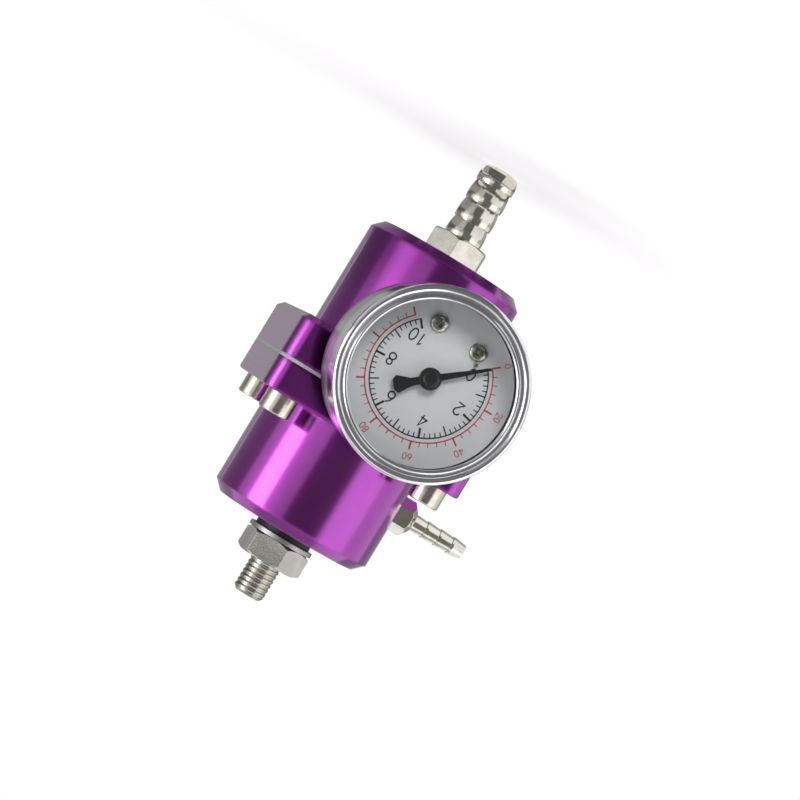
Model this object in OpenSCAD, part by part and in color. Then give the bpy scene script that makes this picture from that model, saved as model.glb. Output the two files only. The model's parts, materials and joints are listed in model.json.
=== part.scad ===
// Adjustable fuel pressure regulator with a dial gauge, in millimetres.
// The adjusting screw points up (+Z), the gauge faces -Y, the vacuum nipple points to -X.
// The origin lies on the main axis at the last crest of the return hose barb.

/* [Body and bonnet] */
// Outer diameter of the fuel body
body_d = 41.4; // [40:0.2:46]
// Outer diameter of the bonnet
bonnet_d = 42.1; // [40:0.1:46]
// Length of the fuel body below its flange
body_len = 28.9; // [24:0.1:40]
// Length of the bonnet above its flange
bonnet_len = 27.8; // [26:0.1:40]
// Chamfer around the outer ends
end_chamfer = 2.4; // [1:0.1:3.4]
// Diameter of the fuel chamber under the diaphragm
chamber_d = 30; // [28:0.5:32]
// Depth of the fuel chamber
chamber_depth = 13.6; // [12:0.1:14]
// Diameter of the spring cavity in the bonnet
cavity_d = 26; // [24:0.5:29]
// Thickness of the bonnet's top wall, which carries the screw thread
bonnet_top_t = 8; // [6:0.5:10]
// Depth of the relief above the diaphragm
relief_depth = 4; // [3:0.5:5.5]

/* [Flange] */
// Side of the square flange
flange_w = 54.5; // [53:0.5:60]
// Corner radius of the flange
corner_r = 4.2; // [3:0.1:6]
// Thickness of the body's flange
body_flange_t = 10.9; // [10:0.1:14]
// Thickness of the bonnet's flange
bonnet_flange_t = 7.8; // [6:0.1:12]
// Chamfer on the body flange's lower edge
body_chamfer = 1.4; // [0.2:0.1:2]
// Chamfer on the bonnet flange's upper edge
bonnet_chamfer = 0.4; // [0.2:0.1:2]
// Diameter of the bosses around the gauge's and the inlet's ports
boss_d = 16; // [14:0.2:18]
// Height of the bosses above the flange's sides
boss_proud = 0.5; // [0.3:0.1:2]

/* [Flange screws] */
// Thread diameter
screw_d = 4; // [3:0.5:5]
// Distance from the flange's sides to the screws
screw_inset = 6.4; // [6:0.1:7]
// Head diameter
screw_head_d = 8; // [7:0.1:9]
// Head height
screw_head_h = 5; // [3.5:0.1:5.5]
// Rounding of the head's top edge
screw_head_round = 0.5; // [0.2:0.1:0.8]
// Width of the hexagon socket
screw_socket_af = 3.4; // [2.5:0.1:4]
// Depth of the socket
screw_socket_depth = 2.4; // [1.5:0.1:3]
// Thread length in the body
screw_grip = 8; // [6:0.1:8.8]

/* [Diaphragm and valve] */
// Thickness of the diaphragm
diaphragm_t = 0.8; // [0.6:0.1:1.5]
// Mean radius of the diaphragm's roll
roll_r = 13; // [12.8:0.1:13.2]
// Diameter of the carrier's stem
carrier_stem_d = 5; // [4:0.5:6]
// Diameter of the carrier's lower plate
carrier_plate_d = 14; // [12:0.5:18]
// Thickness of the carrier's lower plate
carrier_plate_t = 2; // [1.5:0.1:3]
// Diameter of the carrier's boss around the pad
carrier_boss_d = 9.6; // [9:0.1:11]
// Diameter of the valve pad
pad_d = 7; // [6.8:0.1:7.6]
// Thickness of the valve pad
pad_t = 1.4; // [1:0.1:1.8]
// Height of the carrier's boss
carrier_boss_h = 2; // [1.9:0.1:2.6]
// Outer diameter of the seat's nozzle
nozzle_d = 6.4; // [5.5:0.1:6.6]
// Bore of the seat
seat_bore_d = 4; // [3:0.1:4.6]
// Diameter of the seat's shank in the body
seat_shank_d = 9; // [8:0.5:10]
// Length of the seat's shank
seat_shank_len = 8.6; // [6:0.2:10]
// Diameter of the seat's collar
seat_collar_d = 12; // [11:0.5:14]
// Thickness of the seat's collar
seat_collar_t = 2; // [1.5:0.1:3]
// Diameter of the plate above the diaphragm
plate_d = 22; // [19:0.5:22.6]
// Thickness of the plate above the diaphragm
plate_t = 1.2; // [0.8:0.1:1.6]
// Width across flats of the carrier's nut
carrier_nut_af = 8; // [7.5:0.5:9]
// Height of the carrier's nut
carrier_nut_h = 3.2; // [2.5:0.1:4]

/* [Spring and adjuster] */
// Mean diameter of the main spring
spring_d = 17; // [15:0.5:18]
// Wire diameter of the main spring
spring_wire = 2.2; // [1.8:0.1:2.6]
// Turns of the main spring
spring_turns = 5; // [4:0.5:6]
// Distance from the bonnet's inner roof down to the spring seat
seat_drop = 3.6; // [3:0.2:6]
// Thickness of the spring seat
spring_seat_t = 3; // [2.4:0.1:4]
// Diameter of the spring seat
spring_seat_d = 23; // [21:0.5:23.4]
// Height of the pilot under the spring seat
seat_pilot_h = 2; // [1:0.1:3]
// Depth of the pocket for the screw's end
seat_pocket = 1; // [0.6:0.1:1.4]
// Thread diameter of the adjusting screw
adjuster_d = 8; // [6:0.5:9]
// Length of the adjusting screw above the nut
adjuster_out = 9.1; // [7:0.1:16]
// Width of the adjusting screw's hexagon socket
adjuster_socket_af = 4; // [3:0.1:4.4]
// Depth of the adjusting screw's socket
adjuster_socket_depth = 4; // [2:0.1:6]
// Chamfer on the adjusting screw's end
adjuster_chamfer = 0.5; // [0.2:0.1:0.8]
// Width across flats of the lock nut
nut_af = 15; // [13:0.1:17]
// Height of the lock nut
nut_h = 6.2; // [5:0.1:9]
// Turn of the lock nut about the axis
nut_turn = 20; // [0:1:59]
// Diameter of the washer
washer_d = 17; // [16:0.5:20]
// Thickness of the washer
washer_t = 1.1; // [0.8:0.1:2]
// Diameter of the rubber seal
seal_d = 14.7; // [12:0.1:15.5]
// Thickness of the rubber seal
seal_t = 1.9; // [1:0.1:2.5]

/* [Fuel hose barbs] */
// Width across flats of the hexagon
barb_af = 13.8; // [12:0.1:15]
// Turn of the return barb's hexagon about the axis
barb_turn = 44; // [0:1:59]
// Length of the hexagon
barb_hex_len = 5.8; // [4:0.1:8]
// Diameter over the crests
barb_crest_d = 9.7; // [9:0.1:10.5]
// Diameter at the roots
barb_root_d = 8.9; // [8.2:0.1:8.9]
// Diameter at the tip
barb_tip_d = 8.2; // [7.6:0.1:8.6]
// Length from the hexagon to the first crest
barb_neck = 4.7; // [2:0.1:6]
// Distance from crest to crest
barb_pitch = 5.1; // [3.5:0.1:6.5]
// Length from the last crest to the tip
barb_tip_len = 4.2; // [2:0.1:6]
// Flat land on each crest
barb_land = 0.8; // [0.4:0.1:1.2]
// Bore of the barb
barb_bore_d = 6; // [4:0.1:6.4]
// Diameter of the pipe thread
port_d = 9.6; // [9:0.1:10]
// Length of the pipe thread
port_len = 8.5; // [6:0.1:9]

/* [Vacuum nipple] */
// Height of the nipple's axis above the bonnet's flange
nipple_rise = 10.5; // [8:0.1:14]
// Width across flats of the nipple's hexagon
nipple_af = 8; // [7:0.1:9]
// Turn of the nipple's hexagon about its axis
nipple_turn = 0; // [0:1:59]
// Length of the nipple's hexagon
nipple_hex_len = 5.3; // [4:0.1:7]
// Diameter over the nipple's crests
nipple_crest_d = 4.5; // [4:0.1:5.5]
// Diameter at the nipple's roots
nipple_root_d = 4; // [3.4:0.1:4]
// Diameter at the nipple's tip
nipple_tip_d = 3.6; // [3:0.1:3.9]
// Length from the nipple's hexagon to its first crest
nipple_neck = 3.5; // [2:0.1:5]
// Distance from crest to crest on the nipple
nipple_pitch = 3.7; // [2.5:0.1:5]
// Length from the nipple's last crest to its tip
nipple_tip_len = 3.6; // [2:0.1:5]
// Flat land on each of the nipple's crests
nipple_land = 0.6; // [0.4:0.1:1]
// Bore of the nipple
nipple_bore_d = 2.2; // [1.4:0.1:2.4]
// Diameter of the nipple's thread
nipple_thread_d = 5; // [4:0.1:6]
// Depth of the flat under the nipple's hexagon
nipple_flat = 0.7; // [0.6:0.05:1.2]

/* [Gauge] */
// Height of the gauge's axis above the body flange's lower face
gauge_rise = -0.9; // [-2:0.1:4]
// Distance from the pointer's axis up to the middle of the case
case_shift = 1; // [0:0.1:1.4]
// Turn of the whole gauge about its axis
gauge_turn = -5.5; // [-30:0.5:30]
// Outer diameter of the bezel
bezel_d = 45.2; // [43:0.2:52]
// Depth of the gauge from the bezel's face to the case's back
gauge_depth = 28; // [27.5:0.5:34]
// Distance from the boss to the case's back
gauge_standoff = 10; // [6:0.5:14]
// Radial thickness of the bezel's skirt
bezel_t = 1; // [0.8:0.1:1.3]
// Length of the bezel's skirt
bezel_len = 8; // [6:0.2:12]
// Width of the bezel's front ring
bezel_ring_w = 3.5; // [2.6:0.1:4]
// Thickness of the bezel's front ring
bezel_lip_t = 1; // [0.9:0.1:1.4]
// Width of the bezel's round rim
bezel_rim_w = 1.9; // [1.6:0.1:2.1]
// Depth of the step inside the bezel's rim
bezel_step = 0.6; // [0.3:0.05:0.7]
// Width of the bead along the bezel's inner edge
bezel_bead_w = 1.1; // [0.8:0.05:1.2]
// Wall of the case
case_wall = 0.8; // [0.6:0.1:1.2]
// Rounding of the case's back edge
case_round = 2; // [0.5:0.1:3]
// Thickness of the window
window_t = 2; // [1:0.1:2.6]
// Thickness of the window's gasket
gasket_t = 1; // [0.6:0.1:1.6]
// Distance from the gasket back to the dial's face
dial_drop = 5.4; // [4.8:0.1:6]
// Thickness of the dial
dial_t = 0.6; // [0.4:0.1:1]
// Width across flats of the stem's hexagon
stem_af = 12; // [11:0.1:13]
// Length of the stem's hexagon behind the case
stem_hex_len = 7; // [5:0.1:8]
// Distance of each case screw from the middle, across the dial
case_screw_x = 4.6; // [4:0.1:5]
// Distance of each case screw below the middle
case_screw_y = 9.6; // [9:0.1:10]
// Thread diameter of the case screws
case_screw_d = 2; // [1.6:0.1:2.4]
// Depth of the case screws in the stem's block
case_screw_grip = 4; // [3:0.1:5]
// Head diameter of the case screws
case_screw_head_d = 3.6; // [3.2:0.1:4]
// Head height of the case screws
case_screw_head_h = 1.2; // [0.8:0.1:1.4]
// Bore of the stem
stem_bore_d = 3; // [2:0.1:4]

/* [Dial and pointer] */
// Distance from the pointer's axis to each dial screw
dial_screw_r = 12.8; // [11.6:0.1:12.8]
// Angle of each dial screw from the bottom of the dial
dial_screw_angle = 26; // [24:0.5:28]
// Head diameter of the dial screws
dial_screw_head_d = 4.3; // [3:0.1:4.6]
// Head height of the dial screws
dial_screw_head_h = 1.1; // [0.7:0.1:1.2]
// Thread diameter of the dial screws
dial_screw_d = 1.9; // [1.6:0.1:2]
// Thread length of the dial screws under the dial
dial_screw_len = 4; // [2:0.1:5]
// Length of the pointer from its axis to its tip
pointer_len = 14.2; // [11:0.1:16]
// Length of the pointer's tail
pointer_tail = 8.4; // [5:0.1:9]
// Width of the pointer's counterweight
pointer_fan_w = 4.1; // [2:0.1:5]
// Width of the pointer at its hub
pointer_w = 1.8; // [1:0.1:2]
// Width of the pointer at its tip
pointer_tip_w = 0.6; // [0.2:0.05:0.8]
// Thickness of the pointer's blade
pointer_t = 0.35; // [0.2:0.05:0.5]
// Diameter of the pointer's hub
pointer_hub_d = 5.2; // [4:0.1:6]
// Angle of the scale's zero, counted from the dial's right
zero_angle = 225; // [215:1:235]
// Sweep of the scale
scale_sweep = 270; // [240:5:280]
// Distance from the pointer's axis to the stop pin
stop_r = 11; // [7:0.1:11.4]
// Diameter of the stop pin
stop_d = 0.8; // [0.6:0.1:1.2]

/* [Movement] */
// Module of the gear teeth
gear_module = 0.18; // [0.16:0.005:0.19]
// Teeth of the pinion
pinion_teeth = 15; // [14:1:16]
// Teeth of the sector's full circle
sector_full_teeth = 105; // [98:7:112]
// Angle of the sector's arbor from the pointer's axis
sector_angle = -35; // [-40:1:-30]
// Length of the sector's tail
tail_len = 4.2; // [3.6:0.1:4.6]
// Length of the link between its pins
link_len = 9.2; // [8.4:0.1:9.6]
// Thickness of the movement's plates
plate_gauge = 0.8; // [0.6:0.1:1]
// Distance between the movement's plates
plate_gap = 5.2; // [5:0.1:5.8]
// Thickness of the sector
sector_t = 0.8; // [0.6:0.1:1]
// Thickness of the link
link_t = 0.8; // [0.5:0.1:0.9]
// Width of the link
link_w = 1.8; // [1.6:0.1:2.2]
// Diameter of the link's pins
link_pin_d = 1; // [0.8:0.1:1.1]
// Diameter of the pointer's arbor
arbor_d = 1.2; // [1:0.1:1.4]
// Radial width of the flattened tube
tube_w = 2; // [1.8:0.1:2.2]
// Axial height of the flattened tube
tube_h = 4.6; // [4:0.1:4.8]
// Wall of the tube
tube_wall = 0.4; // [0.3:0.05:0.5]
// Turns of the hairspring
hair_turns = 4; // [3:0.5:5]
// Thickness of the hairspring's strip
hair_t = 0.15; // [0.1:0.01:0.2]

/* [Hidden] */
$fn = 64;
// Radial gap of a thread or a pressed shank in its hole
thread_gap = 0.05;
// Radial gap of a loose hole around a screw
loose_gap = 0.2;
// Extra length of a cutting shape past the face that it cuts
cut = 1;

// Heights of the stack along the main axis
barb_crests = 3;
barb_last_crest = barb_neck + (barb_crests - 1) * barb_pitch + barb_land / 2;
barb_len = barb_hex_len + barb_neck + (barb_crests - 1) * barb_pitch + barb_tip_len;
nipple_len = nipple_hex_len + nipple_neck + (barb_crests - 1) * nipple_pitch + nipple_tip_len;
body_z = barb_last_crest + barb_hex_len;
body_flange_z = body_z + body_len;
diaphragm_z = body_flange_z + body_flange_t;
bonnet_z = diaphragm_z + diaphragm_t;
bonnet_face_z = bonnet_z + bonnet_flange_t;
bonnet_top_z = bonnet_face_z + bonnet_len;
washer_z = bonnet_top_z + seal_t;
nut_z = washer_z + washer_t;
adjuster_top_z = nut_z + nut_h + adjuster_out;
roof_z = bonnet_top_z - bonnet_top_t;
spring_seat_z = roof_z - seat_drop - spring_seat_t;
chamber_z = diaphragm_z - chamber_depth;
carrier_z = diaphragm_z - carrier_plate_t;
pad_z = carrier_z - carrier_boss_h;
plate_z = bonnet_z;
carrier_nut_z = plate_z + plate_t;
gauge_z = body_flange_z + gauge_rise;
nipple_z = bonnet_face_z + nipple_rise;
screw_pos = flange_w / 2 - screw_inset;
corner_pos = flange_w / 2 - corner_r;
port_face = flange_w / 2 + boss_proud;

// Levels of the gauge along its own axis, counted outwards from the face of its boss
case_z = gauge_standoff;
face_z = case_z + gauge_depth;
window_z = face_z - bezel_lip_t - window_t;
gasket_z = window_z - gasket_t;
dial_z = gasket_z - dial_drop - dial_t;
dial_face_z = dial_z + dial_t;
block_z = case_z + case_wall;
block_t = 7.6;
back_plate_z = block_z + block_t;
front_plate_z = back_plate_z + plate_gauge + plate_gap;
link_z = back_plate_z + plate_gauge + 1.1;
sector_z = link_z + link_t + 0.3;
hair_z = front_plate_z - 1.4;
hair_h = 0.8;
pointer_z = dial_face_z + dial_screw_head_h + 0.2;

// Radii of the gauge
bezel_r = bezel_d / 2;
case_r = bezel_r - bezel_t - thread_gap;
case_inner_r = case_r - case_wall;
window_r = bezel_r - bezel_t - loose_gap;
dial_r = case_inner_r - 0.4;
hole_r = stem_af / sqrt(3) + loose_gap;
tube_r = case_inner_r - 2.9 - tube_w / 2;
foot_w = 7;
block_w = 13.2;
block_low = -sqrt(pow(tube_r - tube_w / 2 - 0.25, 2) - pow(block_w / 2, 2));
block_high = 6.5;
post_r = 1.5;

// Movement: centres in the dial's plane
centre_distance = gear_module * (pinion_teeth + sector_full_teeth) / 2;
sector_centre = centre_distance * [cos(sector_angle), sin(sector_angle)];
sector_sweep = scale_sweep * pinion_teeth / sector_full_teeth;
tail_pin = sector_centre + tail_len * [cos(sector_sweep / 2), -sin(sector_sweep / 2)];
tip_pin = tail_pin + [0, link_len];
arbor_gap = 0.05;
pillar_r = 0.9;
pillars = [[-5.5, 3.6], [9.5, 4.4], [-5.5, -6.6]];
movement_screw_spots = [[-4.4, 0.4], [1.6, -5.4]];
sector_arbor_d = 1.4;
pressure_angle = 20;
backlash = 0.04;
collet_r = 1;
hair_stud_r = 4.9;

anodised = "darkviolet";
nickel = "silver";
steel = "lightslategray";
brass = "goldenrod";

// Shapes that several pieces share

// Places a shape at each of the flange's screws
module at_corners() {
    for (x = [-screw_pos, screw_pos], y = [-screw_pos, screw_pos])
        translate([x, y, 0])
            children();
}

// Puts a shape in the gauge's own frame: x to the right and y up on the dial, z to the viewer
module at_gauge() {
    translate([0, -port_face, gauge_z])
        rotate([90, 0, 0])
            rotate([0, 0, gauge_turn])
                children();
}

// Outline of the square flange with round corners
module flange_outline() {
    square([flange_w - 2 * corner_r, flange_w], center = true);
    square([flange_w, flange_w - 2 * corner_r], center = true);
    for (x = [-corner_pos, corner_pos], y = [-corner_pos, corner_pos])
        translate([x, y])
            circle(corner_r);
}

// Bar as long as the flange's straight side, with the two long edges of its far face chamfered
module chamfer_bar(t, chamfer) {
    half = flange_w / 2;
    rotate([90, 0, 0])
        linear_extrude(flange_w - 2 * corner_r, center = true)
            polygon([
                [-half, 0], [half, 0], [half, t - chamfer],
                [half - chamfer, t], [chamfer - half, t], [-half, t - chamfer]
            ]);
}

// Flange from its mating face up to a face with chamfered edges
module flange_block(t, chamfer) {
    chamfer_bar(t, chamfer);
    rotate([0, 0, 90])
        chamfer_bar(t, chamfer);
    for (x = [-corner_pos, corner_pos], y = [-corner_pos, corner_pos])
        translate([x, y, 0])
            chamfer_end(2 * corner_r, t, chamfer);
}

// Cylinder whose far end has a rounded edge
module round_end(d, h, edge) {
    rotate_extrude() {
        square([d / 2, h - edge]);
        square([d / 2 - edge, h]);
        translate([d / 2 - edge, h - edge])
            circle(edge);
    }
}

// Cylinder whose far end has a chamfered edge
module chamfer_end(d, h, chamfer) {
    rotate_extrude()
        polygon([[0, 0], [d / 2, 0], [d / 2, h - chamfer], [d / 2 - chamfer, h], [0, h]]);
}

// Hexagon whose corners are turned off towards top_r at the far end, or at both ends
module hexagon(af, h, both = true, top_r = 0, slope = 30) {
    end_r = top_r > 0 ? top_r : af / 2 * 0.97;
    wide_r = af / sqrt(3) + cut;
    bevel = (wide_r - end_r) * tan(slope);
    intersection() {
        cylinder(r = af / sqrt(3), h = h, $fn = 6);
        rotate_extrude()
            polygon([
                [0, 0], [both ? end_r : wide_r, 0], [wide_r, both ? bevel : 0],
                [wide_r, h - bevel], [end_r, h], [0, h]
            ]);
    }
}

// Half section of a hose barb along +y from its hexagon's face, with its steps towards the hexagon
module barb_profile(crest, root, tip, neck, pitch, tip_len, land) {
    steps = [for (i = [0 : barb_crests - 1]) neck + i * pitch];
    last = steps[barb_crests - 1];
    polygon(concat(
        [[0, -cut], [crest / 2, -cut], [crest / 2, 0]],
        [for (i = [0 : barb_crests - 1], k = [0 : 2])
            k == 0 ? [root / 2, steps[i]] : [crest / 2, steps[i] + (k - 1) * land]],
        [[tip / 2, last + tip_len], [0, last + tip_len]]
    ));
}

// Fuel hose barb along +z: its hexagon starts at z = 0 and its thread lies below
module fuel_barb() {
    difference() {
        union() {
            hexagon(barb_af, barb_hex_len, false);
            translate([0, 0, -port_len])
                cylinder(d = port_d, h = port_len + cut);
            translate([0, 0, barb_hex_len])
                rotate_extrude()
                    barb_profile(barb_crest_d, barb_root_d, barb_tip_d, barb_neck, barb_pitch,
                        barb_tip_len, barb_land);
        }
        translate([0, 0, -port_len - cut])
            cylinder(d = barb_bore_d, h = port_len + barb_len + 2 * cut);
    }
}

// Tapped port and its drilling, cut along -z from the mating face at z = 0
module port_cut(drill_d, drill_len) {
    translate([0, 0, -port_len - 0.5])
        cylinder(d = port_d + 2 * thread_gap, h = port_len + 0.5 + cut);
    translate([0, 0, -drill_len])
        cylinder(d = drill_d, h = drill_len);
}

// Small pan head screw along -z, with its head above z = 0
module pan_screw(d, len, head_d, head_h) {
    slot = head_d / 5;
    translate([0, 0, -len])
        cylinder(d = d, h = len + head_h / 2);
    difference() {
        round_end(head_d, head_h, head_h * 0.45);
        for (turn = [0, 90])
            rotate([0, 0, turn])
                translate([-head_d * 0.3, -slot / 2, head_h / 2])
                    cube([head_d * 0.6, slot, head_h]);
    }
}

// Regulator pieces

module fuel_body() {
    color(anodised)
        difference() {
            union() {
                translate([0, 0, diaphragm_z])
                    mirror([0, 0, 1])
                        flange_block(body_flange_t, body_chamfer);
                translate([0, 0, body_flange_z + cut])
                    mirror([0, 0, 1])
                        chamfer_end(body_d, body_len + cut, end_chamfer);
                translate([0, 0, gauge_z])
                    for (side = [90, -90])
                        rotate([side, 0, 0])
                            cylinder(d = boss_d, h = port_face);
            }
            translate([0, 0, chamber_z])
                cylinder(d = chamber_d, h = chamber_depth + cut);
            translate([0, 0, chamber_z - seat_shank_len])
                cylinder(d = seat_shank_d + 2 * thread_gap, h = seat_shank_len + cut);
            translate([0, 0, body_z])
                mirror([0, 0, 1])
                    port_cut(barb_bore_d, chamber_z - body_z);
            translate([0, 0, gauge_z])
                for (side = [90, -90])
                    rotate([side, 0, 0])
                        translate([0, 0, port_face])
                            port_cut(stem_bore_d, port_face - chamber_d / 2 + cut);
            at_corners()
                translate([0, 0, diaphragm_z - screw_grip - cut])
                    cylinder(d = screw_d + 2 * thread_gap, h = screw_grip + 2 * cut);
        }
}

module bonnet() {
    flat_x = bonnet_d / 2 - nipple_flat;
    color(anodised)
        difference() {
            union() {
                translate([0, 0, bonnet_z])
                    flange_block(bonnet_flange_t, bonnet_chamfer);
                translate([0, 0, bonnet_face_z - cut])
                    chamfer_end(bonnet_d, bonnet_len + cut, end_chamfer);
            }
            translate([0, 0, bonnet_z - cut])
                cylinder(d = cavity_d, h = roof_z - bonnet_z + cut);
            translate([0, 0, bonnet_z - cut])
                cylinder(d = chamber_d, h = relief_depth + cut);
            translate([0, 0, roof_z - cut])
                cylinder(d = adjuster_d + 2 * thread_gap, h = bonnet_top_t + 2 * cut);
            translate([0, 0, nipple_z])
                rotate([0, -90, 0]) {
                    translate([0, 0, cavity_d / 2 - cut])
                        cylinder(d = nipple_thread_d + 2 * thread_gap, h = bonnet_d / 2);
                    translate([0, 0, flat_x])
                        cylinder(d = nipple_af * 2 / sqrt(3) + 0.4, h = bonnet_d);
                }
            at_corners()
                translate([0, 0, bonnet_z - cut])
                    cylinder(d = screw_d + 2 * loose_gap, h = bonnet_flange_t + 2 * cut);
        }
}

module diaphragm() {
    rim = diaphragm_t / 2;
    roll_out = rim + diaphragm_t;
    color("gainsboro")
        translate([0, 0, diaphragm_z]) {
            difference() {
                linear_extrude(diaphragm_t)
                    flange_outline();
                translate([0, 0, -cut])
                    difference() {
                        cylinder(r = roll_r + rim, h = diaphragm_t + 2 * cut);
                        cylinder(r = roll_r - rim, h = diaphragm_t + 2 * cut);
                    }
                translate([0, 0, -cut])
                    cylinder(d = carrier_stem_d + 2 * thread_gap, h = diaphragm_t + 2 * cut);
                at_corners()
                    translate([0, 0, -cut])
                        cylinder(d = screw_d + 2 * loose_gap, h = diaphragm_t + 2 * cut);
            }
            rotate_extrude()
                translate([roll_r, 0])
                    intersection() {
                        difference() {
                            circle(roll_out);
                            circle(rim);
                        }
                        translate([-roll_out, 0])
                            square([2 * roll_out, roll_out]);
                    }
        }
}

module diaphragm_plate() {
    color(steel)
        translate([0, 0, plate_z])
            difference() {
                cylinder(d = plate_d, h = plate_t);
                translate([0, 0, -cut])
                    cylinder(d = carrier_stem_d + 2 * thread_gap, h = plate_t + 2 * cut);
            }
}

module valve_carrier() {
    stem_top = carrier_nut_z + carrier_nut_h + 1;
    color(brass)
        difference() {
            union() {
                translate([0, 0, carrier_z])
                    cylinder(d = carrier_plate_d, h = carrier_plate_t);
                translate([0, 0, pad_z + 0.4])
                    cylinder(d = carrier_boss_d, h = carrier_boss_h - 0.4 + carrier_plate_t / 2);
                translate([0, 0, carrier_z])
                    cylinder(d = carrier_stem_d, h = stem_top - carrier_z);
            }
            translate([0, 0, pad_z])
                cylinder(d = pad_d + 2 * thread_gap, h = pad_t);
        }
}

module carrier_nut() {
    color(nickel)
        translate([0, 0, carrier_nut_z])
            difference() {
                hexagon(carrier_nut_af, carrier_nut_h);
                translate([0, 0, -cut])
                    cylinder(d = carrier_stem_d + 2 * thread_gap, h = carrier_nut_h + 2 * cut);
            }
}

module valve_pad() {
    color("black")
        translate([0, 0, pad_z])
            cylinder(d = pad_d, h = pad_t);
}

module valve_seat() {
    color(brass)
        difference() {
            union() {
                translate([0, 0, chamber_z - seat_shank_len])
                    cylinder(d = seat_shank_d, h = seat_shank_len + cut);
                translate([0, 0, chamber_z])
                    cylinder(d = seat_collar_d, h = seat_collar_t);
                translate([0, 0, chamber_z])
                    cylinder(d = nozzle_d, h = pad_z - chamber_z);
            }
            translate([0, 0, chamber_z - seat_shank_len - cut])
                cylinder(d = seat_bore_d, h = pad_z - chamber_z + seat_shank_len + 2 * cut);
        }
}

// Ring of points around a path point, for a wire that winds about z
function wire_ring(r, angle, z, wire_r, sides) = [
    for (k = [0 : sides - 1])
        let (a = 360 * k / sides, out = r + wire_r * cos(a))
            [out * cos(angle), out * sin(angle), z + wire_r * sin(a)]
];

// Coil spring from z = 0 to z = h whose end turns lie flat
module coil_spring(mean_d, wire, turns, h) {
    per_turn = 24;
    sides = 10;
    rings = ceil(turns * per_turn);
    lift = h - 2 * wire;
    function rise(u) = u < 1 ? wire / 2 * u
        : u > turns - 1 ? wire / 2 + lift + wire / 2 * (u - turns + 1)
        : wire / 2 + lift * (u - 1) / (turns - 2);
    points = [for (i = [0 : rings]) each wire_ring(mean_d / 2, 360 * turns * i / rings,
        wire / 2 + rise(turns * i / rings), wire / 2, sides)];
    walls = [for (i = [0 : rings - 1], k = [0 : sides - 1])
        let (a = i * sides + k, b = i * sides + (k + 1) % sides)
            [a, b, b + sides, a + sides]];
    caps = [[for (k = [sides - 1 : -1 : 0]) k], [for (k = [0 : sides - 1]) rings * sides + k]];
    polyhedron(points, concat(walls, caps), convexity = 10);
}

module main_spring() {
    color(steel)
        translate([0, 0, carrier_nut_z + thread_gap])
            coil_spring(spring_d, spring_wire, spring_turns,
                spring_seat_z - carrier_nut_z - 2 * thread_gap);
}

module spring_seat() {
    color(nickel)
        difference() {
            union() {
                translate([0, 0, spring_seat_z])
                    cylinder(d = spring_seat_d, h = spring_seat_t);
                translate([0, 0, spring_seat_z - seat_pilot_h])
                    cylinder(d = spring_d - spring_wire - 1, h = seat_pilot_h + cut);
            }
            translate([0, 0, spring_seat_z + spring_seat_t - seat_pocket])
                cylinder(d = adjuster_d + 2 * thread_gap, h = seat_pocket + cut);
        }
}

module adjusting_screw() {
    low = spring_seat_z + spring_seat_t - seat_pocket;
    color(nickel)
        difference() {
            union() {
                translate([0, 0, low])
                    cylinder(d = adjuster_d, h = adjuster_top_z - adjuster_chamfer - low);
                translate([0, 0, adjuster_top_z - adjuster_chamfer])
                    cylinder(d1 = adjuster_d, d2 = adjuster_d - 2 * adjuster_chamfer, h = adjuster_chamfer);
            }
            translate([0, 0, adjuster_top_z - adjuster_socket_depth])
                cylinder(r = adjuster_socket_af / sqrt(3), h = adjuster_socket_depth + cut, $fn = 6);
        }
}

module lock_nut() {
    color(nickel)
        translate([0, 0, nut_z])
            rotate([0, 0, nut_turn])
                difference() {
                    hexagon(nut_af, nut_h);
                    translate([0, 0, -cut])
                        cylinder(d = adjuster_d + 2 * thread_gap, h = nut_h + 2 * cut);
                }
}

// Flat ring around the adjusting screw
module screw_ring(d, t) {
    difference() {
        cylinder(d = d, h = t);
        translate([0, 0, -cut])
            cylinder(d = adjuster_d + 2 * loose_gap, h = t + 2 * cut);
    }
}

module lock_washer() {
    color(nickel)
        translate([0, 0, washer_z])
            screw_ring(washer_d, washer_t);
}

module seal_ring() {
    color("dimgray")
        translate([0, 0, bonnet_top_z])
            screw_ring(seal_d, seal_t);
}

module flange_screws() {
    color(nickel)
        at_corners()
            translate([0, 0, bonnet_face_z])
                difference() {
                    union() {
                        round_end(screw_head_d, screw_head_h, screw_head_round);
                        translate([0, 0, diaphragm_z - screw_grip - bonnet_face_z])
                            cylinder(d = screw_d, h = bonnet_face_z - diaphragm_z + screw_grip + cut);
                    }
                    translate([0, 0, screw_head_h - screw_socket_depth])
                        cylinder(r = screw_socket_af / sqrt(3), h = screw_socket_depth + cut, $fn = 6);
                }
}

module return_barb() {
    color(nickel)
        translate([0, 0, body_z])
            mirror([0, 0, 1])
                rotate([0, 0, barb_turn])
                    fuel_barb();
}

module inlet_barb() {
    color(nickel)
        translate([0, port_face, gauge_z])
            rotate([-90, 0, 0])
                fuel_barb();
}

module vacuum_nipple() {
    wall = bonnet_d / 2 - nipple_flat - cavity_d / 2;
    color(nickel)
        translate([nipple_flat - bonnet_d / 2, 0, nipple_z])
            rotate([0, -90, 0])
                difference() {
                    union() {
                        rotate([0, 0, nipple_turn])
                            hexagon(nipple_af, nipple_hex_len, false, nipple_crest_d / 2 + 0.5, 40);
                        translate([0, 0, 0.5 - wall])
                            cylinder(d = nipple_thread_d, h = wall);
                        translate([0, 0, nipple_hex_len])
                            rotate_extrude()
                                barb_profile(nipple_crest_d, nipple_root_d, nipple_tip_d, nipple_neck,
                                    nipple_pitch, nipple_tip_len, nipple_land);
                    }
                    translate([0, 0, -wall])
                        cylinder(d = nipple_bore_d, h = wall + nipple_len + cut);
                }
}

// Gauge pieces

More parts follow.
